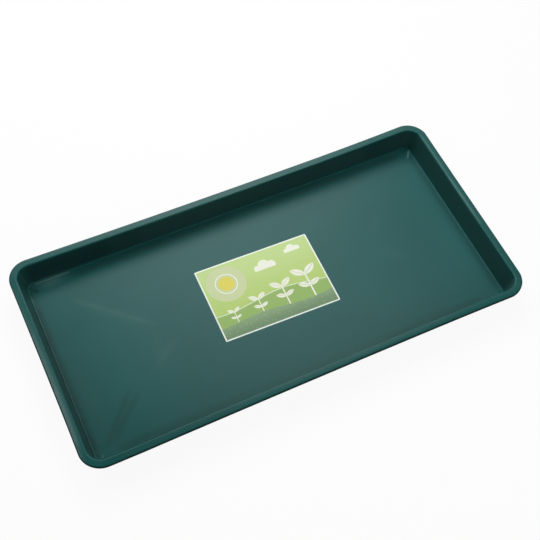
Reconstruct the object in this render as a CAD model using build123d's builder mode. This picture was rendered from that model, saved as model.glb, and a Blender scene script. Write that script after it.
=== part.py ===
"""Shallow potting tray: one vacuum-formed plastic shell with a printed label stuck to its floor.

Millimetres, +Z up. The origin is on the underside of the floor, at the middle of the tray, so the tray
stands on the XY plane. X runs along the tray's length and Y across it.
"""

import os
from math import radians, tan

from build123d import *

# Overall size, over the turned-down edge of the rim
tray_length = 790.0
tray_width = 400.0
tray_height = 46.0

# The formed sheet
sheet_thickness = 2.0
wall_draft = 14.0  # degrees that each wall leans outward
foot_bend_radius = 2.5  # inside the tray, between wall and floor
floor_corner_radius = 11.5  # of the flat floor, and every line above it is concentric

# The flat rim round the mouth, with its outer edge turned down into a short lip
rim_width = 13.0  # from the outer edge to where the planes of rim and wall meet
rim_bend_radius = 0.5  # under the rim, between rim and wall
lip_height = 4.0  # from the top of the rim to the trimmed edge
lip_bend_radius = 0.3  # under the rim, between rim and lip
trim_edge_radius = 0.4  # of the trimmed edge, inside and outside

# The label on the floor
label_length = 210.0
label_width = 145.0
label_corner_radius = 2.0
label_sheet_thickness = 0.1
label_adhesive_thickness = 0.03
label_x = 3.0
label_y = 9.0
label_turn = -1.3  # degrees, because it is stuck on slightly askew

# What follows from these: insets are measured inward from the outer edge of the rim
foot_inset = rim_width + (tray_height - sheet_thickness) * tan(radians(wall_draft))
floor_inset = foot_inset + foot_bend_radius
floor_length = tray_length - 2 * floor_inset
floor_width = tray_width - 2 * floor_inset
rim_corner_radius = floor_corner_radius + floor_inset
trimmed_edge_level = tray_height - lip_height

front_middle = Vector(0, -tray_width / 2, 0)
right_middle = Vector(tray_length / 2, 0, 0)
across_front_wall = Plane(front_middle, x_dir=(0, 1, 0), z_dir=(1, 0, 0))

os.makedirs("parts", exist_ok=True)

# The shell: lip, rim and wall are one bent strip of sheet that runs round the mouth, and the floor closes
# it. In the strip's cross-section x runs inward from the outer edge and y runs up.
with BuildPart() as tray:
    with BuildLine() as quarter_of_rim:
        FilletPolyline(
            front_middle,
            front_middle + right_middle,
            right_middle,
            radius=rim_corner_radius,
        )
    with BuildSketch(across_front_wall) as bent_strip:
        with BuildLine():
            FilletPolyline(
                (0, trimmed_edge_level),
                (0, tray_height),
                (rim_width, tray_height),
                (foot_inset, sheet_thickness),
                (floor_inset, sheet_thickness),
                radius=[
                    lip_bend_radius + sheet_thickness,
                    rim_bend_radius + sheet_thickness,
                    foot_bend_radius,
                ],
            )
            offset(amount=sheet_thickness, side=Side.RIGHT)
        make_face()
        trimmed_end = bent_strip.edges().filter_by(Axis.X).sort_by(Axis.X)[0]
        fillet(trimmed_end.vertices(), trim_edge_radius)
    sweep(path=quarter_of_rim.wire())
    mirror(about=Plane.YZ)
    mirror(about=Plane.XZ)
    with BuildSketch(Plane.XY):
        RectangleRounded(floor_length, floor_width, floor_corner_radius)
    extrude(amount=sheet_thickness)
tray.part.label = "tray"
export_step(tray.part, "parts/tray.step")

# The label: a film of glue on the floor and the printed sheet on top of it, cut to one outline.
glue_plane = Plane((label_x, label_y, sheet_thickness)).rotated((0, 0, label_turn))
sheet_plane = glue_plane.offset(label_adhesive_thickness)

with BuildPart() as label_adhesive:
    with BuildSketch(glue_plane):
        RectangleRounded(label_length, label_width, label_corner_radius)
    extrude(amount=label_adhesive_thickness)
label_adhesive.part.label = "label_adhesive"
export_step(label_adhesive.part, "parts/label_adhesive.step")

with BuildPart() as label_sheet:
    with BuildSketch(sheet_plane):
        RectangleRounded(label_length, label_width, label_corner_radius)
    extrude(amount=label_sheet_thickness)
label_sheet.part.label = "label_sheet"
export_step(label_sheet.part, "parts/label_sheet.step")
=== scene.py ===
"""Dresses the potting tray: its formed green shell, the label on its floor and a white studio.

Metres, +Z up, in the frame of the solids. X runs along the tray and Y across it, towards its back.
"""
import logging
import math
from contextlib import contextmanager
from dataclasses import dataclass, field
from enum import Enum
from functools import reduce
from typing import Any, Callable, Iterator, Sequence

import bmesh
import bpy
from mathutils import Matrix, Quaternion, Vector


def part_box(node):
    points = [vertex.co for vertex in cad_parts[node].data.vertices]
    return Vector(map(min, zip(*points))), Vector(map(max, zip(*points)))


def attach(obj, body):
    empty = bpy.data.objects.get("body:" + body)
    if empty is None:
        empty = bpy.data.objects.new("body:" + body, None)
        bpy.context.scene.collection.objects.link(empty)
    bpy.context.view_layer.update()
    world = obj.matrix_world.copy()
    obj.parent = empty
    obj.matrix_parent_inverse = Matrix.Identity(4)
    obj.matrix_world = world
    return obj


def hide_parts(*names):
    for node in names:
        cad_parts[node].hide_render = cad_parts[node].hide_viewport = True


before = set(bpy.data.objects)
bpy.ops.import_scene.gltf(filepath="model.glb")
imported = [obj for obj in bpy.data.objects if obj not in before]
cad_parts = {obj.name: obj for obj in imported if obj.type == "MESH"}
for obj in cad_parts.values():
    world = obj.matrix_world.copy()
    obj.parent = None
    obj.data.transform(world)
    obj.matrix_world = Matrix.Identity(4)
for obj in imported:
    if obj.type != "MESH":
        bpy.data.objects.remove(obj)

MM = 0.001
TINY = 0.01 * MM
BODY = "root"
OUTWARD = "outward"
SMOOTH_ANGLE = math.radians(40)
log = logging.getLogger("potting_tray")

Colour = tuple[float, float, float, float]
Point = tuple[float, float]
WHITE: Colour = (1.0, 1.0, 1.0, 1.0)


class Turn(Enum):
    """The axes that the modelling operators turn about."""

    ABOUT_LENGTH = (1, 0, 0)
    ABOUT_UPRIGHT = (0, 0, 1)


class Side(Enum):
    """The four sides of the tray, as the outward direction of each."""

    BACK = (0, 1)
    FRONT = (0, -1)
    RIGHT = (1, 0)
    LEFT = (-1, 0)


def linear(level: int) -> float:
    """Undoes the screen's curve for one channel, from 0 to 255."""
    share = level / 255
    return share / 12.92 if share <= 0.04045 else ((share + 0.055) / 1.055) ** 2.4


def from_screen(red: int, green: int, blue: int) -> Colour:
    """Turns a colour as a screen shows it into the opaque linear one that a shader takes."""
    return (linear(red), linear(green), linear(blue), 1.0)


def in_metres(*millimetres: float) -> tuple[float, ...]:
    """Turns lengths in millimetres into metres."""
    return tuple(length * MM for length in millimetres)


def smooth_step(low: float, high: float, at: float) -> float:
    """Rises smoothly from 0 where a place is at low to 1 where it is at high."""
    share = min(max((at - low) / (high - low), 0.0), 1.0)
    return share * share * (3 - 2 * share)


class Value:
    """One output of a node. Arithmetic on it adds Math nodes to its graph."""

    def __init__(self, graph: "Graph", made: bpy.types.Node, output: int | str = 0) -> None:
        """Wraps an output.

        Args:
            graph: The graph that holds the node.
            made: The node.
            output: The output's name or number.
        """
        self.graph = graph
        self.made = made
        self.socket = made.outputs[output] if made.outputs else None

    def output(self, name: int | str) -> "Value":
        """Gives another output of the same node."""
        return Value(self.graph, self.made, name)

    def __add__(self, other: "Value | float") -> "Value":
        """Adds."""
        return self.graph.math("ADD", self, other)

    def __radd__(self, other: float) -> "Value":
        """Adds, with the number first."""
        return self.graph.math("ADD", other, self)

    def __sub__(self, other: "Value | float") -> "Value":
        """Subtracts."""
        return self.graph.math("SUBTRACT", self, other)

    def __rsub__(self, other: float) -> "Value":
        """Subtracts from a number."""
        return self.graph.math("SUBTRACT", other, self)

    def __mul__(self, other: "Value | float") -> "Value":
        """Multiplies."""
        return self.graph.math("MULTIPLY", self, other)

    def __rmul__(self, other: float) -> "Value":
        """Multiplies, with the number first."""
        return self.graph.math("MULTIPLY", other, self)

    def __truediv__(self, other: "Value | float") -> "Value":
        """Divides."""
        return self.graph.math("DIVIDE", self, other)

    def __rtruediv__(self, other: float) -> "Value":
        """Divides a number."""
        return self.graph.math("DIVIDE", other, self)

    def __abs__(self) -> "Value":
        """Drops the sign."""
        return self.graph.math("ABSOLUTE", self)

    def root(self) -> "Value":
        """Gives the square root."""
        return self.graph.math("SQRT", self)

    def sine(self) -> "Value":
        """Gives the sine of an angle in radians."""
        return self.graph.math("SINE", self)

    def floor(self) -> "Value":
        """Rounds down."""
        return self.graph.math("FLOOR", self)

    def at_least(self, other: "Value | float") -> "Value":
        """Gives the larger of two values."""
        return self.graph.math("MAXIMUM", self, other)

    def at_most(self, other: "Value | float") -> "Value":
        """Gives the smaller of two values."""
        return self.graph.math("MINIMUM", self, other)

    def step(self, low: float, high: float) -> "Value":
        """Rises smoothly from 0 at low to 1 at high, and falls where high is the smaller."""
        inputs = {0: self, 1: low, 2: high, 3: 0.0, 4: 1.0}
        return self.graph.node("ShaderNodeMapRange", {"interpolation_type": "SMOOTHSTEP"}, inputs)

    def painted(self, share: "Value", paint: "Value | Colour") -> "Value":
        """Gives this colour with a share of another one over it."""
        return self.graph.mix(share, self, paint)


class Graph:
    """The node tree of a material or a world."""

    def __init__(self, owner: bpy.types.Material | bpy.types.World) -> None:
        """Empties the owner's node tree.

        Args:
            owner: The material or world to make nodes for.
        """
        owner.use_nodes = True
        self.tree = owner.node_tree
        self.tree.nodes.clear()

    def node(
        self,
        kind: str,
        settings: dict[str, Any] | None = None,
        inputs: dict[int | str, Any] | None = None,
        output: int | str = 0,
    ) -> Value:
        """Adds a node, sets it up and feeds its sockets.

        Args:
            kind: The node's type.
            settings: The node's own settings by name.
            inputs: Numbers, colours or links, by the socket's name or number.
            output: The output to give back.

        Returns:
            That output of the new node.
        """
        made = self.tree.nodes.new(kind)
        for name, setting in (settings or {}).items():
            setattr(made, name, setting)
        for name, fed in (inputs or {}).items():
            if isinstance(fed, Value):
                self.tree.links.new(fed.socket, made.inputs[name])
            else:
                made.inputs[name].default_value = fed
        return Value(self, made, output)

    def math(self, operation: str, *values: Value | float) -> Value:
        """Adds a Math node that works out an operation on values, in order."""
        return self.node("ShaderNodeMath", {"operation": operation}, dict(enumerate(values)))

    def mix(self, share: Value | float, first: Value | Colour, second: Value | Colour) -> Value:
        """Mixes two colours, with a share of the second from 0 to 1."""
        return self.node("ShaderNodeMix", {"data_type": "RGBA"}, {0: share, 6: first, 7: second}, 2)

    def place(self) -> Value:
        """Gives the place on the piece, in metres."""
        return self.node("ShaderNodeTexCoord", output="Object")

    def noise(self, place: Value, size: float, detail: float = 2.0) -> Value:
        """Adds soft noise around 0.5, with blotches of a size in metres and finer layers by detail."""
        inputs = {"Vector": place, "Scale": 1 / size, "Detail": detail}
        return self.node("ShaderNodeTexNoise", None, inputs)

    def split(self, place: Value) -> Value:
        """Splits a place into outputs named X, Y and Z."""
        return self.node("ShaderNodeSeparateXYZ", None, {0: place})

    def bump(self, height: Value) -> Value:
        """Gives the normal of a surface that is raised by a height in metres."""
        return self.node("ShaderNodeBump", None, {"Strength": 1.0, "Distance": 1.0, "Height": height})

    def shade(self, shader: Value) -> None:
        """Sends a shader to the material's surface."""
        self.node("ShaderNodeOutputMaterial", None, {"Surface": shader})

    def dress(self, inputs: dict[int | str, Any]) -> None:
        """Gives the material a Principled surface with these inputs."""
        self.shade(self.node("ShaderNodeBsdfPrincipled", None, inputs))


def new_material(name: str) -> tuple[bpy.types.Material, Graph]:
    """Makes an empty material and its graph."""
    made = bpy.data.materials.new(name)
    return made, Graph(made)


@dataclass(frozen=True)
class Streak:
    """A straight band of painted light or painted shade on the sheet, in millimetres from above. A
    tone over 0 makes it light.
    """

    start: Point
    end: Point
    half_width: float
    tone: float
    patchiness: float = 1.2
    fade: float = 3.0

    def share(self, x: Value, y: Value) -> Value:
        """Says how much of the mark shows at a place.

        Args:
            x: The place along the tray.
            y: The place across the tray.

        Returns:
            From 0 beside the mark to its full tone along its middle.
        """
        start_x, start_y = in_metres(*self.start)
        end_x, end_y, half_width = in_metres(*self.end, self.half_width)
        run_x, run_y = end_x - start_x, end_y - start_y
        length = math.hypot(run_x, run_y)
        run_x, run_y = run_x / length, run_y / length
        from_x, from_y = x - start_x, y - start_y
        along = from_x * run_x + from_y * run_y
        aside = abs(from_y * run_x - from_x * run_y)
        past_end = abs(along - length / 2)
        fade = min(length / 2, self.fade * half_width)
        ends = past_end.step(length / 2, length / 2 - fade)
        return aside.step(half_width, 0.0) * ends * abs(self.tone)


@dataclass(frozen=True)
class SatinPlastic:
    """Dark green sheet as it comes off the mould: satin and faintly clouded, with painted light and
    shade on its floor, walls and rims.
    """

    colour: Colour = (0.0045, 0.0930, 0.0890, 1.0)
    cloud_colour: Colour = (0.0055, 0.0990, 0.0950, 1.0)
    # The walls and the rim take darker copies of the sheet's colour, as painted shade
    shaded_wall_colour: Colour = (0.0165, 0.0715, 0.0660, 1.0)
    shaded_rim_colour: Colour = (0.0040, 0.0905, 0.0830, 1.0)
    # Painted shade on the lip's outward face
    lip_shade_colour: Colour = (0.0020, 0.0200, 0.0185, 1.0)
    # Colours of the painted light and the painted shade
    painted_light_colour: Colour = (0.2000, 0.3600, 0.3500, 1.0)
    painted_shade_colour: Colour = (0.0010, 0.0360, 0.0340, 1.0)
    roughness: float = 0.36
    rim_roughness: float = 0.32
    lip_roughness: float = 0.85
    cloud_roughness: float = 0.05
    refraction: float = 1.49
    specular: float = 0.232
    foot: float = 7 * MM
    rim: float = 42 * MM
    height_blend: float = 2 * MM
    lip: float = 41.6 * MM
    lip_blend: float = 0.3 * MM
    lip_facing: Point = (0.3, 0.8)
    cloud_size: float = 120 * MM
    cloud_range: Point = (0.35, 0.65)
    patch_size: float = 22 * MM
    grain_size: float = 0.9 * MM
    grain_depth: float = 0.02 * MM
    peel_size: float = 9 * MM
    peel_depth: float = 0.012 * MM
    streaks: tuple[Streak, ...] = (
        # Painted light and shade where creases in the floor catch the light
        Streak((-314, 128), (-193, 9), 22, 0.030),
        Streak((-312, 124), (-190, 10), 8, 0.050),
        Streak((-166, -10), (-236, -64), 14, 0.045),
        Streak((-196, 12), (-222, -50), 12, 0.025),
        Streak((-354, -158), (-272, -66), 9, -0.33),
        Streak((-342, -156), (-262, -78), 9, -0.33),
        Streak((262, 90), (206, 6), 18, 0.025),
        Streak((204, 14), (256, -50), 16, 0.025),
        # Painted highlights and shade in the curled back left corner, painted shade along the feet of
        # the walls and a painted highlight in the back right corner
        Streak((-362, 166), (-296, 168), 14, 0.17, 0.4),
        Streak((-358, 173), (-290, 173.4), 2.2, 0.44),
        Streak((-362, 168), (-353, 154), 5, -0.80),
        Streak((-370, -178), (-370, 150), 12, -0.72),
        Streak((370, 170), (357, 150), 3, 0.60),
        Streak((-305, 165), (362, 164), 11, -0.58, 0.2),
        Streak((366, -168), (366, 160), 10, -0.42, 0.2),
        Streak((-352, -164), (355, -164), 16, -0.20, 0.2),
        Streak((-352, -166), (-90, -166), 18, -0.22, 0.2),
        Streak((110, -166), (355, -166), 18, -0.22, 0.2),
        # Broad painted shade and light on the left of the floor
        Streak((-352, -260), (-352, 160), 70, -0.30, 0.1),
        Streak((-352, -260), (-352, 160), 70, 0.03, 0.1),
        Streak((-235, -130), (-235, 110), 95, 0.016, 0.1),
    )
    upper_streaks: tuple[Streak, ...] = (
        # Painted highlights and a painted shadow on the left rim, and painted highlights in two
        # corners
        Streak((-390, -152), (-390, -40), 5, 0.14),
        Streak((-392, -161), (-390, -149), 3.5, -0.55),
        Streak((-366, 171), (-376, 181), 3, 0.06),
        Streak((365, -170), (376, -181), 1.5, 0.10),
        # Painted light on the back wall and painted shade on its left end and on the left wall
        Streak((-170, 178), (290, 178), 9, 0.045, 0.2),
        Streak((-378, 181), (-205, 179), 9, -0.45, 0.2),
        Streak((-377.5, -168), (-377.5, 172), 5, -0.45, 0.2),
        # Painted highlights along the left and right rims and the back right corner, and painted shade
        # on the front rim's left half
        Streak((-391, -70), (-391, 70), 6, 0.08),
        Streak((-389, 40), (-389, 160), 8, 0.035),
        Streak((384, -55), (384, 168), 4.5, 0.15, 0.4),
        Streak((384, -35), (384, 60), 4, 0.12, 0.4),
        Streak((285, 196), (394, 183), 15, 0.060, 0.2),
        Streak((-388, -194), (-130, -194), 14, -0.22, 0.2),
    )

    def material(self) -> bpy.types.Material:
        """Makes the material.

        Returns:
            The shell's material.
        """
        made, graph = new_material("satin_green_plastic")
        place = graph.place()
        height = graph.split(place).output("Z")
        wall = height.step(self.foot - self.height_blend, self.foot + self.height_blend)
        rim = height.step(self.rim - self.height_blend, self.rim + self.height_blend)
        clouds = graph.noise(place, self.cloud_size, detail=3.0)
        colour = graph.mix(clouds.step(*self.cloud_range), self.colour, self.cloud_colour)
        # Painted light and shade on the floor
        colour = self._paint_light_and_shade(graph, place, colour, self.streaks)
        # The walls and rim in darker copies of the sheet's colour, as painted shade, with their own
        # painted light and shade
        upper = graph.mix(rim, self.shaded_wall_colour, self.shaded_rim_colour)
        upper = self._paint_light_and_shade(graph, place, upper, self.upper_streaks)
        colour = colour.painted(wall, upper)
        # Painted shade: the lip's outward face is painted dark
        outward = graph.node("ShaderNodeAttribute", {"attribute_name": OUTWARD}, output="Fac")
        above_cut = height.step(self.lip - self.lip_blend, self.lip + self.lip_blend)
        lip = outward.step(*self.lip_facing) * above_cut
        colour = colour.painted(lip, self.lip_shade_colour)
        rim_step = rim * (self.rim_roughness - self.roughness)
        lip_step = lip * (self.lip_roughness - self.rim_roughness)
        cloud_step = (clouds - 0.5) * self.cloud_roughness
        inputs = {
            "Base Color": colour,
            "Roughness": self.roughness + rim_step + lip_step + cloud_step,
            "Normal": self._skin(graph, place),
            "IOR": self.refraction,
            "Specular IOR Level": self.specular,
        }
        graph.dress(inputs)
        return made

    def _paint_light_and_shade(self, graph: Graph, place: Value, colour: Value, streaks: Sequence[Streak]) -> Value:
        """Paints bands of light and shade on the sheet, each broken up a little along its length.

        Args:
            graph: The graph to add nodes to.
            place: The place on the piece.
            colour: The colour so far.
            streaks: The bands of painted light and shade.

        Returns:
            The colour with the painted light and shade.
        """
        spot = graph.split(place)
        patches = graph.noise(place, self.patch_size, detail=3.0) - 0.5
        for streak in streaks:
            share = streak.share(spot.output("X"), spot.output("Y"))
            share = share * (patches * streak.patchiness + 1.0)
            colour = colour.painted(share, self.painted_light_colour if streak.tone > 0 else self.painted_shade_colour)
        return colour

    def _skin(self, graph: Graph, place: Value) -> Value:
        """Gives the skin its fine grain and a slight unevenness.

        Args:
            graph: The graph to add nodes to.
            place: The place on the piece.

        Returns:
            The bumped normal.
        """
        grain = graph.noise(place, self.grain_size) * self.grain_depth
        peel = graph.noise(place, self.peel_size, detail=1.0) * self.peel_depth
        return graph.bump(peel + grain)


@dataclass(frozen=True)
class Leaf:
    """A pair of pointed leaves on a seedling, in the seedling's own measure."""

    out: float
    up: float
    tilt: float
    half_length: float
    half_width: float

    def distances(self, aside: Value, up: Value) -> tuple[Value, Value]:
        """Measures from the edge of the leaf and from its midrib.

        Args:
            aside: The distance from the stem.
            up: The height over the soil.

        Returns:
            How far outside the leaf a place is, and how far from the midrib.
        """
        cosine, sine = math.cos(self.tilt), math.sin(self.tilt)
        out, rise = aside - self.out, up - self.up
        along = out * cosine + rise * sine
        across = abs(rise * cosine - out * sine)
        radius = (self.half_length**2 + self.half_width**2) / (2 * self.half_width)
        bulge = across + (radius - self.half_width)
        return (along * along + bulge * bulge).root() - radius, across


@dataclass(frozen=True)
class Cloud:
    """A printed cloud, in millimetres: round puffs, as centre and radius, over a straight base."""

    base: float
    puffs: tuple[tuple[float, float, float], ...]

    def distance(self, across: Value, up: Value) -> Value:
        """Measures from the cloud's outline.

        Args:
            across: The place along the label.
            up: The place up the label.

        Returns:
            How far outside the cloud a place is.
        """
        gaps = []
        for puff in self.puffs:
            centre, height, radius = in_metres(*puff)
            out, rise = across - centre, up - height
            gaps.append((out * out + rise * rise).root() - radius)
        return reduce(Value.at_most, gaps).at_least(self.base * MM - up)


@dataclass(frozen=True)
class PrintedPaper:
    """Coated label paper, printed with seedlings, a hill, clouds and a sun on a green ground."""

    length: float
    width: float
    centre: Point
    turn: float
    border: float = 2.5 * MM
    edge: float = 0.15 * MM
    white: Colour = from_screen(238, 247, 236)
    ground: Colour = from_screen(183, 211, 112)
    sky: Colour = from_screen(194, 220, 142)
    hill: Colour = from_screen(148, 184, 96)
    soil: Colour = from_screen(136, 166, 122)
    deep_soil: Colour = from_screen(106, 140, 102)
    cream: Colour = from_screen(242, 245, 228)
    vein: Colour = from_screen(172, 202, 120)
    sun: Colour = from_screen(226, 214, 84)
    glow: Colour = from_screen(204, 217, 164)
    sky_range: Point = (-30 * MM, 70 * MM)
    sun_centre: Point = (-62 * MM, 31 * MM)
    sun_radius: float = 14 * MM
    ring_reach: float = 1.35
    ring_half_width: float = 0.8 * MM
    glow_reach: float = 2.5
    clouds: tuple[Cloud, ...] = (
        Cloud(33, ((0, 37, 7), (12, 42, 10), (25, 38, 8))),
        Cloud(49, ((60, 52, 5), (69, 55, 8), (79, 52, 6))),
    )
    hill_level: float = -19 * MM
    hill_rise: float = 6 * MM
    hill_wave: float = 34 * MM
    hill_start: float = 0.9
    hill_line: float = 0.6 * MM
    soil_line: float = -48 * MM
    soil_top: float = -46 * MM
    soil_rise: float = 3 * MM
    soil_wave: float = 27 * MM
    soil_start: float = 2.6
    soil_range: Point = (-70 * MM, -40 * MM)
    crumb_pitch: float = 5 * MM
    crumb_radius: float = 1.1 * MM
    crumb_share: float = 0.45
    seedlings: int = 4
    pitch: float = 47 * MM
    first_scale: float = 0.55
    scale_step: float = 0.19
    stem_height: float = 42 * MM
    stem_width: float = 1.3 * MM
    vein_half_width: float = 0.35 * MM
    vein_margin: float = 1.2 * MM
    leaves: tuple[Leaf, ...] = (
        Leaf(9.8 * MM, 47 * MM, math.radians(34), 12.5 * MM, 5.6 * MM),
        Leaf(8.4 * MM, 23 * MM, math.radians(22), 9.8 * MM, 4.3 * MM),
    )
    roughness: float = 0.40
    specular: float = 0.3
    fibre_size: float = 0.35 * MM
    fibre_depth: float = 0.004 * MM

    def material(self) -> bpy.types.Material:
        """Makes the material.

        Returns:
            The label's material.
        """
        made, graph = new_material("printed_label_paper")
        place = graph.place()
        inputs = {"Vector": place, "Location": (*self.centre, 0), "Rotation": (0, 0, self.turn)}
        flat = graph.node("ShaderNodeMapping", {"vector_type": "TEXTURE"}, inputs)
        spot = graph.split(flat)
        across, up = spot.output("X"), spot.output("Y")
        colour = graph.mix(up.step(*self.sky_range), self.ground, self.sky)
        colour = self._print_sun(colour, across, up)
        for cloud in self.clouds:
            colour = colour.painted(self._inside(cloud.distance(across, up)), self.cream)
        colour = self._print_hill(colour, across, up)
        colour = self._print_seedlings(colour, across, up)
        colour = self._print_soil(colour, flat, across, up)
        reach_x = abs(across) - (self.length / 2 - self.border)
        reach_y = abs(up) - (self.width / 2 - self.border)
        colour = graph.mix(self._inside(reach_x.at_least(reach_y)), self.white, colour)
        fibres = graph.noise(place, self.fibre_size) * self.fibre_depth
        inputs = {
            "Base Color": colour,
            "Roughness": self.roughness,
            "Normal": graph.bump(fibres),
            "Specular IOR Level": self.specular,
        }
        graph.dress(inputs)
        return made

    def _inside(self, distance: Value) -> Value:
        """Gives 1 where a distance from an outline is below zero, with a soft printed edge."""
        return distance.step(self.edge, -self.edge)

    def _print_sun(self, colour: Value, across: Value, up: Value) -> Value:
        """Prints the sun, a ring round it and a pale disc behind it.

        Args:
            colour: The print so far.
            across: The place along the label.
            up: The place up the label.

        Returns:
            The print with the sun.
        """
        out, rise = across - self.sun_centre[0], up - self.sun_centre[1]
        distance = (out * out + rise * rise).root()
        glow = distance - self.glow_reach * self.sun_radius
        colour = colour.painted(self._inside(glow), self.glow)
        ring = abs(distance - self.ring_reach * self.sun_radius) - self.ring_half_width
        colour = colour.painted(self._inside(ring), self.white)
        return colour.painted(self._inside(distance - self.sun_radius), self.sun)

    def _print_hill(self, colour: Value, across: Value, up: Value) -> Value:
        """Prints the far hill with a white line along its top.

        Args:
            colour: The print so far.
            across: The place along the label.
            up: The place up the label.

        Returns:
            The print with the hill.
        """
        wave = (across / self.hill_wave + self.hill_start).sine()
        over = up - (wave * self.hill_rise + self.hill_level)
        colour = colour.painted(self._inside(over), self.hill)
        return colour.painted(self._inside(abs(over) - self.hill_line), self.white)

    def _print_seedlings(self, colour: Value, across: Value, up: Value) -> Value:
        """Prints the row of seedlings, each taller than the one before.

        Args:
            colour: The print so far.
            across: The place along the label.
            up: The place up the label.

        Returns:
            The print with the seedlings.
        """
        start = self.seedlings * self.pitch / 2
        counted = ((across + start) / self.pitch).floor()
        number = counted.at_least(0.0).at_most(self.seedlings - 1.0)
        scale = number * self.scale_step + self.first_scale
        aside = abs(across + (start - self.pitch / 2) - number * self.pitch) / scale
        height = (up - self.soil_line) / scale
        stem = (aside - self.stem_width).at_least(height - self.stem_height)
        colour = colour.painted(self._inside(stem), self.cream)
        for leaf in self.leaves:
            edge, midrib = leaf.distances(aside, height)
            colour = colour.painted(self._inside(edge), self.cream)
            vein = (midrib - self.vein_half_width).at_least(edge + self.vein_margin)
            colour = colour.painted(self._inside(vein), self.vein)
        return colour

    def _print_soil(self, colour: Value, flat: Value, across: Value, up: Value) -> Value:
        """Prints the soil at the foot of the label, with crumbs in it.

        Args:
            colour: The print so far.
            flat: The place on the label.
            across: The place along the label.
            up: The place up the label.

        Returns:
            The print with the soil.
        """
        top = (across / self.soil_wave + self.soil_start).sine() * self.soil_rise + self.soil_top
        cells = {"Vector": flat, "Scale": 1 / self.crumb_pitch}
        from_crumb = flat.graph.node("ShaderNodeTexVoronoi", None, cells) * self.crumb_pitch
        crumb = self._inside(from_crumb - self.crumb_radius)
        soil = flat.graph.mix(up.step(*self.soil_range), self.deep_soil, self.soil)
        soil = soil.painted(crumb * self.crumb_share, self.vein)
        return colour.painted(self._inside(up - top), soil)


@dataclass(frozen=True)
class GlueFilm:
    """Clear glue, slightly milky, with faint ripples from being rolled on."""

    colour: Colour = (0.72, 0.70, 0.58, 1.0)
    ripple_colour: Colour = (0.80, 0.79, 0.70, 1.0)
    ripple_size: float = 6 * MM
    roughness: float = 0.3

    def material(self) -> bpy.types.Material:
        """Makes the material.

        Returns:
            The glue's material.
        """
        made, graph = new_material("label_glue")
        ripples = graph.noise(graph.place(), self.ripple_size)
        colour = graph.mix(ripples, self.colour, self.ripple_colour)
        graph.dress({"Base Color": colour, "Roughness": self.roughness})
        return made


@dataclass(frozen=True)
class StudioPaper:
    """White floor that shows a faint soft shadow and vanishes when seen from below."""

    colour: Colour = (0.90, 0.90, 0.90, 1.0)
    glow_share: float = 0.93

    def material(self) -> bpy.types.Material:
        """Makes the material.

        Returns:
            The floor's material.
        """
        made, graph = new_material("studio_paper")
        paper = graph.node("ShaderNodeBsdfDiffuse", None, {"Color": self.colour})
        glow = graph.node("ShaderNodeEmission", None, {"Color": WHITE, "Strength": 1.0})
        seen = seen_directly(graph)
        lit = graph.node("ShaderNodeMixShader", None, {0: seen * self.glow_share, 1: paper, 2: glow})
        below = graph.node("ShaderNodeNewGeometry", output="Backfacing")
        clear = graph.node("ShaderNodeBsdfTransparent")
        graph.shade(graph.node("ShaderNodeMixShader", None, {0: below, 1: lit, 2: clear}))
        return made


def seen_directly(graph: Graph) -> Value:
    """Tells the rays that see a background from those that are lit by it.

    Args:
        graph: The graph to add nodes to.

    Returns:
        1 for a ray from the camera, a reflection or a clear piece, and otherwise 0.
    """
    ray = graph.node("ShaderNodeLightPath", output="Is Camera Ray")
    mirrored = ray.output("Is Glossy Ray")
    through = ray.output("Is Transmission Ray")
    return ray.at_least(mirrored).at_least(through)


@contextmanager
def editing(piece: bpy.types.Object) -> Iterator[None]:
    """Holds a piece in edit mode, with vertices as what is selected.

    Args:
        piece: The mesh object, which is the active one.

    Yields:
        Nothing.
    """
    bpy.context.view_layer.objects.active = piece
    bpy.ops.object.mode_set(mode="EDIT")
    bpy.ops.mesh.select_mode(type="VERT")
    yield
    bpy.ops.object.mode_set(mode="OBJECT")


def select_points(piece: bpy.types.Object, wanted: Callable[[Vector], bool]) -> None:
    """Selects the vertices of a piece in edit mode by their place, and nothing else.

    Args:
        piece: The mesh object, in edit mode.
        wanted: Says whether a vertex at a place is to be selected.
    """
    bpy.ops.mesh.select_all(action="DESELECT")
    shape = bmesh.from_edit_mesh(piece.data)
    for vertex in shape.verts:
        vertex.select_set(wanted(vertex.co))
    shape.select_flush(True)
    bmesh.update_edit_mesh(piece.data)


def pull(step: Sequence[float], times: int) -> None:
    """Extrudes what is selected, one step after another."""
    for _ in range(times):
        bpy.ops.mesh.extrude_region_move(TRANSFORM_OT_translate={"value": step})


def swing(centre: Sequence[float], turn: Turn, angle: float, steps: int) -> None:
    """Spins what is selected by an angle in radians, counter-clockwise as seen against the axis."""
    bpy.ops.mesh.spin(steps=steps, angle=-angle, center=centre, axis=turn.value)


def weld() -> None:
    """Merges the vertices of the piece in edit mode that lie on each other."""
    bpy.ops.mesh.select_all(action="SELECT")
    bpy.ops.mesh.remove_doubles(threshold=TINY)


def modify(piece: bpy.types.Object, kind: str, **settings: Any) -> None:
    """Adds a modifier to a piece and applies it.

    Args:
        piece: The mesh object.
        kind: The modifier's type.
        settings: The modifier's settings by name.
    """
    bpy.context.view_layer.objects.active = piece
    added = piece.modifiers.new(kind.lower(), kind)
    for name, setting in settings.items():
        setattr(added, name, setting)
    bpy.ops.object.modifier_apply(modifier=added.name)


def start_piece(name: str) -> bpy.types.Object:
    """Names the primitive that was just added, and puts its place and turn into its mesh.

    Args:
        name: The piece's name.

    Returns:
        The piece, which is active and the only object selected.
    """
    piece = bpy.context.object
    piece.name = name
    piece.data.name = name
    bpy.ops.object.transform_apply(location=True, rotation=True, scale=True)
    return piece


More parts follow.
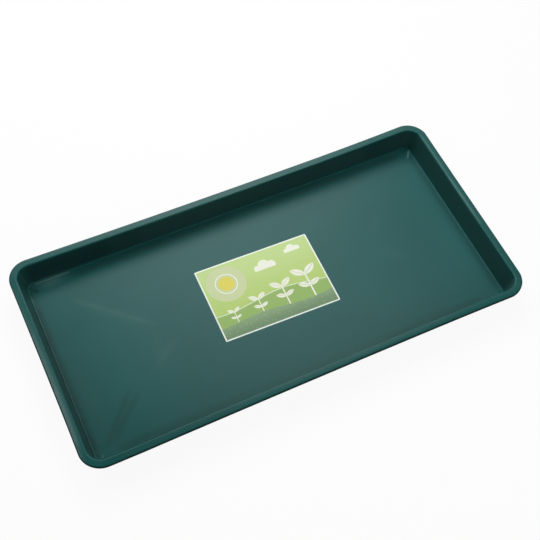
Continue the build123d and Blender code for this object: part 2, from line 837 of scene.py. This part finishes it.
def seat(piece: bpy.types.Object, node: str, finish: bpy.types.Material) -> None:
    """Gives a finished piece its material and puts it in a node's place.

    Args:
        piece: The finished mesh object.
        node: The node that it stands for, whose material slot has the same name.
        finish: The piece's material.
    """
    piece.data.materials.clear()
    piece.data.materials.append(finish)
    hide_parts(node)
    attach(piece, BODY)
    log.info("%s: %d faces, in place of %s", piece.name, len(piece.data.polygons), node)


@dataclass
class FloorForm:
    """How the cooled floor departs from flat: a low crown, webs in its corners and one curl."""

    half_length: float
    half_width: float
    corner: Point
    crown: float = 1.6 * MM
    crown_bend: float = 0.5
    crease: float = 70 * MM
    web_height: float = 0.8 * MM
    web_width: float = 1.7 * MM
    web_start: float = 6 * MM
    curl: float = 1.8 * MM
    curl_length: float = 110 * MM
    curl_fade: float = 0.7
    curl_width: float = 26 * MM

    def rise(self, x: float, y: float) -> float:
        """Gives the floor's height over the flat floor.

        Args:
            x: The place along the tray.
            y: The place across the tray.

        Returns:
            The height in metres, which is 0 at the foot of the walls but for the webs.
        """
        from_end = max(self.half_length - abs(x), 0.0)
        from_side = max(self.half_width - abs(y), 0.0)
        blend = max(self.crease - abs(from_end - from_side), 0.0) ** 2 / (4 * self.crease)
        share = max(min(from_end, from_side) - blend, 0.0) / self.half_width
        roof = share - max(share - self.crown_bend, 0.0) ** 2
        ridge = 1 - (1 - self.crown_bend) ** 2
        web = self._web(abs(x) - self.corner[0], abs(y) - self.corner[1])
        return self.crown * roof / ridge + web + self._curl(x, y)

    def _curl(self, x: float, y: float) -> float:
        """Gives how far the floor curls up towards the back wall in the back left corner.

        Args:
            x: The place along the tray.
            y: The place across the tray.

        Returns:
            The height in metres.
        """
        up_wall = min(max(1 - (self.half_width - y) / self.curl_width, 0.0), 1.0) ** 2
        end = -self.half_length + self.curl_length
        return self.curl * up_wall * smooth_step(end, end - self.curl_fade * self.curl_length, x)

    def _web(self, out_x: float, out_y: float) -> float:
        """Gives the height of the web that runs into a corner.

        Args:
            out_x: The place along the tray, from where the corner's rounding starts.
            out_y: The place across the tray, from where the corner's rounding starts.

        Returns:
            The height in metres.
        """
        along = (out_x + out_y) / math.sqrt(2)
        aside = (out_x - out_y) / math.sqrt(2)
        ridge = math.exp(-((aside / self.web_width) ** 2))
        return self.web_height * smooth_step(0.0, self.web_start, along) * ridge


@dataclass(frozen=True)
class SideForm:
    """How one side moved as it cooled: its mouth in, and the outer edge of its rim down."""

    draw_in: float
    droop: float
    middle: float = 0.0
    curl: float = 2.0
    low_end: float = 0.0
    high_end: float = 0.0

    def share(self, along: float) -> float:
        """Gives the share of the move at a place along the side.

        Args:
            along: The place, from -1 at one end to 1 at the other.

        Returns:
            1 at the middle of the move, and the end's own share at each end, but never below 0.
        """
        past = along - self.middle
        end, reach = (self.high_end, 1 - self.middle) if past > 0 else (self.low_end, 1 + self.middle)
        return max(1 - (1 - end) * min(abs(past) / reach, 1.0) ** 2, 0.0)


@dataclass
class TrayShell:
    """The formed shell: floor, walls, flat rim and lip in one sheet, drawn in along its sides."""

    sheet: float = 2.0 * MM
    draft: float = math.radians(14.0)
    foot_bend: float = 2.5 * MM
    rim_width: float = 13.0 * MM
    rim_bend: float = 2.5 * MM
    lip_bend: float = 2.3 * MM
    lip: float = 4.0 * MM
    floor_corner: float = 11.5 * MM
    cut_edge: float = 0.4 * MM
    cut_angle: float = math.radians(60)
    cut_steps: int = 4
    sides: dict[Side, SideForm] = field(
        default_factory=lambda: {
            Side.BACK: SideForm(6.4 * MM, 0.0, 0.42, high_end=0.4),
            Side.FRONT: SideForm(3.35 * MM, 0.8 * MM, 0.5, low_end=-0.4, high_end=0.52),
            Side.LEFT: SideForm(1.2 * MM, 2.6 * MM, -0.45, 1.2),
            Side.RIGHT: SideForm(0.35 * MM, 0.4 * MM, low_end=2.6),
        }
    )
    bend_steps: int = 8
    corner_steps: int = 16
    floor_steps: int = 5
    wall_steps: int = 6
    rim_steps: int = 5
    lip_steps: int = 2
    long_steps: int = 60
    short_steps: int = 27

    def __post_init__(self) -> None:
        """Works out the places that follow from the sizes and from the solid's box."""
        low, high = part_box("tray")
        self.half_length = (high.x - low.x) / 2
        self.half_width = (high.y - low.y) / 2
        self.height = high.z
        self.bend_angle = math.pi / 2 - self.draft
        self.foot_inset = self.rim_width + (self.height - self.sheet) * math.tan(self.draft)
        self.rim_corner = self.floor_corner + self.foot_inset + self.foot_bend
        self.corner_x = self.half_length - self.rim_corner
        self.corner_y = self.half_width - self.rim_corner
        foot = (self.half_length - self.foot_inset, self.half_width - self.foot_inset)
        self.floor = FloorForm(*foot, (self.corner_x, self.corner_y))

    def build(self, finish: SatinPlastic) -> None:
        """Models the shell and dresses it.

        Args:
            finish: The shell's plastic.
        """
        bpy.ops.object.select_all(action="DESELECT")
        start = (self.corner_x, self.corner_y, self.sheet)
        bpy.ops.mesh.primitive_plane_add(size=self.sheet, location=start)
        piece = start_piece("formed_tray")
        with editing(piece):
            self._draw_section()
            self._carry_round_quarter(piece)
        modify(piece, "MIRROR", use_axis=(True, True, False), merge_threshold=TINY)
        for vertex in piece.data.vertices:
            vertex.co = self._settled(vertex.co)
        with editing(piece):
            weld()
            bpy.ops.mesh.normals_make_consistent(inside=False)
        if piece.data.polygons[0].normal.z < 0:
            piece.data.flip_normals()
        even = {"use_even_offset": True, "use_quality_normals": True}
        modify(piece, "SOLIDIFY", thickness=self.sheet, offset=-1, **even)
        sharp = {"limit_method": "ANGLE", "angle_limit": self.cut_angle}
        modify(piece, "BEVEL", width=self.cut_edge, segments=self.cut_steps, **sharp)
        with editing(piece):
            weld()
        bpy.ops.object.shade_smooth_by_angle(angle=SMOOTH_ANGLE)
        self._note_outward(piece)
        seat(piece, "tray", finish.material())

    def _draw_section(self) -> None:
        """Draws the sheet's section, from floor to lip, where the back right corner starts."""
        bpy.ops.mesh.select_all(action="SELECT")
        bpy.ops.mesh.merge(type="CENTER")
        reach = math.tan(self.bend_angle / 2)
        foot_y = self.half_width - self.foot_inset - self.foot_bend * reach
        pull((0, (foot_y - self.corner_y) / self.floor_steps, 0), self.floor_steps)
        foot_centre = (self.corner_x, foot_y, self.sheet + self.foot_bend)
        swing(foot_centre, Turn.ABOUT_LENGTH, self.bend_angle, self.bend_steps)
        wall_rise = self.height - self.sheet
        bend_drop = (self.foot_bend + self.rim_bend) * reach * math.cos(self.draft)
        wall_step = (wall_rise - bend_drop) / self.wall_steps
        pull((0, wall_step * math.tan(self.draft), wall_step), self.wall_steps)
        rim_y = self.half_width - self.rim_width + self.rim_bend * reach
        rim_centre = (self.corner_x, rim_y, self.height - self.rim_bend)
        swing(rim_centre, Turn.ABOUT_LENGTH, -self.bend_angle, self.bend_steps)
        lip_y = self.half_width - self.lip_bend
        pull((0, (lip_y - rim_y) / self.rim_steps, 0), self.rim_steps)
        lip_centre = (self.corner_x, lip_y, self.height - self.lip_bend)
        swing(lip_centre, Turn.ABOUT_LENGTH, -math.pi / 2, self.bend_steps)
        pull((0, 0, (self.lip_bend - self.lip) / self.lip_steps), self.lip_steps)

    def _carry_round_quarter(self, piece: bpy.types.Object) -> None:
        """Carries the section round a corner and along half of each side, and lays the floor.

        Args:
            piece: The shell, in edit mode, which holds the section.
        """
        bpy.ops.mesh.select_all(action="SELECT")
        corner = (self.corner_x, self.corner_y, 0)
        swing(corner, Turn.ABOUT_UPRIGHT, -math.pi / 2, self.corner_steps)
        to_front = (0, -self.corner_y / self.short_steps, 0)
        to_left = (-self.corner_x / self.long_steps, 0, 0)
        pull(to_front, self.short_steps)
        weld()
        start_x, start_y = self.corner_x, self.corner_y
        select_points(piece, lambda at: abs(at.x - start_x) < TINY and at.y > start_y - TINY)
        pull(to_left, self.long_steps)
        select_points(piece, lambda at: abs(at.y - start_y) < TINY and at.x < start_x + TINY)
        pull(to_front, self.short_steps)
        weld()

    def _settled(self, at: Vector) -> Vector:
        """Draws the sides in, lifts the floor and lets the rim droop, as the sheet did when it cooled.

        Args:
            at: The point on the straight sheet.

        Returns:
            The point on the cooled sheet.
        """
        height_share = min(max((at.z - self.sheet) / (self.height - self.sheet), 0.0), 1.0)
        if self._inset(at) < self.rim_width / 2:
            height_share = 1.0
        moved = at.copy()
        rim_flat = self.rim_width - self.rim_bend * math.tan(self.bend_angle / 2)
        for side, form in self.sides.items():
            out_x, out_y = side.value
            half = self.half_length if out_x else self.half_width
            corner = self.corner_x if out_x else self.corner_y
            along = at.y / self.half_width if out_x else at.x / self.half_length
            out = at.x * out_x + at.y * out_y
            span = smooth_step(corner, half - self.foot_inset, out) * form.share(along)
            past_bend = max(1 - (half - out) / rim_flat, 0.0)
            moved.x -= out_x * span * height_share * form.draw_in
            moved.y -= out_y * span * height_share * form.draw_in
            moved.z -= span * past_bend**form.curl * form.droop
        moved.z += (1 - height_share) * self.floor.rise(at.x, at.y)
        return moved

    def _inset(self, at: Vector) -> float:
        """Gives how far inside the outer edge of the straight sheet a point lies.

        Args:
            at: The point on the straight sheet.

        Returns:
            The distance in metres.
        """
        past_x, past_y = abs(at.x) - self.corner_x, abs(at.y) - self.corner_y
        if past_x > 0 and past_y > 0:
            return self.rim_corner - math.hypot(past_x, past_y)
        return self.rim_corner - max(past_x, past_y)

    def _note_outward(self, piece: bpy.types.Object) -> None:
        """Notes on each vertex how far the skin there faces away from the tray, which tells the lip.

        Args:
            piece: The finished shell.
        """
        noted = piece.data.attributes.new(OUTWARD, "FLOAT", "POINT")
        for vertex, note in zip(piece.data.vertices, noted.data):
            inner_x = min(max(vertex.co.x, -self.corner_x), self.corner_x)
            inner_y = min(max(vertex.co.y, -self.corner_y), self.corner_y)
            out = Vector((vertex.co.x - inner_x, vertex.co.y - inner_y, 0))
            note.value = max(out.normalized().dot(vertex.normal), 0.0)


@dataclass
class Label:
    """The label: a film of glue and the printed sheet on it, both lying as the floor lies."""

    floor: FloorForm
    length: float = 210.0 * MM
    width: float = 145.0 * MM
    corner: float = 2.0 * MM
    corner_steps: int = 4
    turn: float = math.radians(-1.3)
    cell: float = 5.0 * MM

    def __post_init__(self) -> None:
        """Takes the place and the thicknesses from the solids."""
        self.sheet_low, self.sheet_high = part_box("label_sheet")
        self.glue_low, self.glue_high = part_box("label_adhesive")
        self.centre = (self.sheet_low + self.sheet_high) / 2

    def build(self, glue: GlueFilm) -> None:
        """Models both layers and dresses them.

        Args:
            glue: The glue's finish.
        """
        paper = PrintedPaper(self.length, self.width, (self.centre.x, self.centre.y), self.turn)
        film = self._layer("label_glue", self.glue_low.z, self.glue_high.z)
        seat(film, "label_adhesive", glue.material())
        sheet = self._layer("label_print", self.sheet_low.z, self.sheet_high.z)
        seat(sheet, "label_sheet", paper.material())

    def _layer(self, name: str, bottom: float, top: float) -> bpy.types.Object:
        """Models one layer of the label.

        Args:
            name: The piece's name.
            bottom: The height of its underside on a flat floor.
            top: The height of its upper side on a flat floor.

        Returns:
            The layer.
        """
        bpy.ops.object.select_all(action="DESELECT")
        columns, rows = round(self.length / self.cell), round(self.width / self.cell)
        cells = {"x_subdivisions": columns, "y_subdivisions": rows}
        place = (self.centre.x, self.centre.y, top)
        bpy.ops.mesh.primitive_grid_add(size=1, location=place, **cells)
        bpy.context.object.scale = (self.length, self.width, 1)
        piece = start_piece(name)
        with editing(piece):
            self._round_corners(piece)
            bpy.ops.mesh.select_all(action="SELECT")
            bpy.ops.transform.rotate(value=-self.turn, orient_axis="Z", center_override=self.centre)
        for vertex in piece.data.vertices:
            vertex.co.z += self.floor.rise(vertex.co.x, vertex.co.y)
        modify(piece, "SOLIDIFY", thickness=top - bottom, offset=-1)
        bpy.ops.object.shade_smooth_by_angle(angle=SMOOTH_ANGLE)
        return piece

    def _round_corners(self, piece: bpy.types.Object) -> None:
        """Rounds the four corners of a layer.

        Args:
            piece: The layer, flat, straight and in edit mode.
        """
        half = Vector((self.length / 2, self.width / 2))

        def is_corner(at: Vector) -> bool:
            """Says whether a vertex is one of the four corners."""
            from_middle = at - self.centre
            return abs(from_middle.x) > half.x - TINY and abs(from_middle.y) > half.y - TINY

        select_points(piece, is_corner)
        bpy.ops.mesh.bevel(affect="VERTICES", offset=self.corner, segments=self.corner_steps)


@dataclass
class SoftBox:
    """A lamp with a diffuser in front, aimed at the middle of the tray."""

    name: str
    place: Vector
    size: Point
    power: float

    def hang(self) -> None:
        """Puts the lamp up."""
        data = bpy.data.lights.new(self.name, "AREA")
        data.shape = "RECTANGLE"
        data.size, data.size_y = self.size
        data.energy = self.power
        lamp = bpy.data.objects.new(self.name, data)
        lamp.location = self.place
        lamp.rotation_mode = "QUATERNION"
        lamp.rotation_quaternion = (-self.place).to_track_quat("-Z", "Y")
        bpy.context.scene.collection.objects.link(lamp)


@dataclass
class Studio:
    """The white floor, the lamps, the surrounding light and the camera."""

    floor_size: float = 60.0
    surround: float = 0.01
    backdrop: float = 0.93
    horizon: Point = (0.15, 0.05)
    lens: float = 71.23
    sensor: float = 36.0
    aim: Vector = field(default_factory=lambda: Vector((9.4, 13.2, 46.0)) * MM)
    azimuth: float = math.radians(-28.216)
    elevation: float = math.radians(58.53)
    distance: float = 1792.8 * MM
    roll: float = math.radians(3.549)
    lamps: tuple[SoftBox, ...] = (
        SoftBox("key", Vector((0.26, 1.18, 1.25)), (1.2, 0.45), 10.9),
        SoftBox("back", Vector((0.18, 1.60, 1.15)), (2.4, 0.7), 8.7),
        SoftBox("top", Vector((0.35, 0.45, 1.30)), (0.9, 0.5), 5.1),
        SoftBox("right", Vector((1.10, 0.60, 1.30)), (0.6, 0.6), 1.6),
        SoftBox("left", Vector((-1.05, 0.64, 1.30)), (0.6, 0.6), 6.0),
        SoftBox("front", Vector((0.20, -1.70, 0.90)), (0.9, 0.9), 6.8),
        SoftBox("front_right", Vector((0.85, -0.75, 1.30)), (0.6, 0.6), 1.9),
    )

    def build(self) -> None:
        """Sets the studio up."""
        bpy.context.scene.view_settings.view_transform = "Standard"
        self._lay_floor()
        self._surround()
        for lamp in self.lamps:
            lamp.hang()
        self._place_camera()

    def _lay_floor(self) -> None:
        """Lays the floor under the tray."""
        bpy.ops.object.select_all(action="DESELECT")
        bpy.ops.mesh.primitive_plane_add(size=self.floor_size)
        ground = start_piece("studio_floor")
        ground.data.materials.append(StudioPaper().material())

    def _surround(self) -> None:
        """Gives the room its light: dim overhead, pale as the background and low in reflections."""
        world = bpy.data.worlds.new("studio")
        bpy.context.scene.world = world
        graph = Graph(world)
        direction = graph.node("ShaderNodeTexCoord", output="Generated")
        low = graph.split(direction).output("Z").step(*self.horizon)
        camera = graph.node("ShaderNodeLightPath", output="Is Camera Ray")
        pale = camera.at_least(seen_directly(graph) * low)
        strength = self.surround + pale * (self.backdrop - self.surround)
        light = graph.node("ShaderNodeBackground", None, {"Color": WHITE, "Strength": strength})
        graph.node("ShaderNodeOutputWorld", None, {"Surface": light})

    def _place_camera(self) -> None:
        """Places the camera where the tray is seen from."""
        data = bpy.data.cameras.new("camera")
        data.lens = self.lens
        data.sensor_width = self.sensor
        flat = math.cos(self.elevation)
        level_x, level_y = math.sin(self.azimuth) * flat, -math.cos(self.azimuth) * flat
        back = Vector((level_x, level_y, math.sin(self.elevation)))
        camera = bpy.data.objects.new("camera", data)
        camera.location = self.aim + back * self.distance
        camera.rotation_mode = "QUATERNION"
        level = (-back).to_track_quat("-Z", "Y")
        camera.rotation_quaternion = level @ Quaternion((0, 0, 1), self.roll)
        bpy.context.scene.collection.objects.link(camera)
        bpy.context.scene.camera = camera


def main() -> None:
    """Builds the tray, its label and the studio."""
    logging.basicConfig(level=logging.INFO, format="%(name)s: %(message)s")
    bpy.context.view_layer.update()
    shell = TrayShell()
    shell.build(SatinPlastic())
    Label(shell.floor).build(GlueFilm())
    Studio().build()


if __name__ == "__main__":
    main()
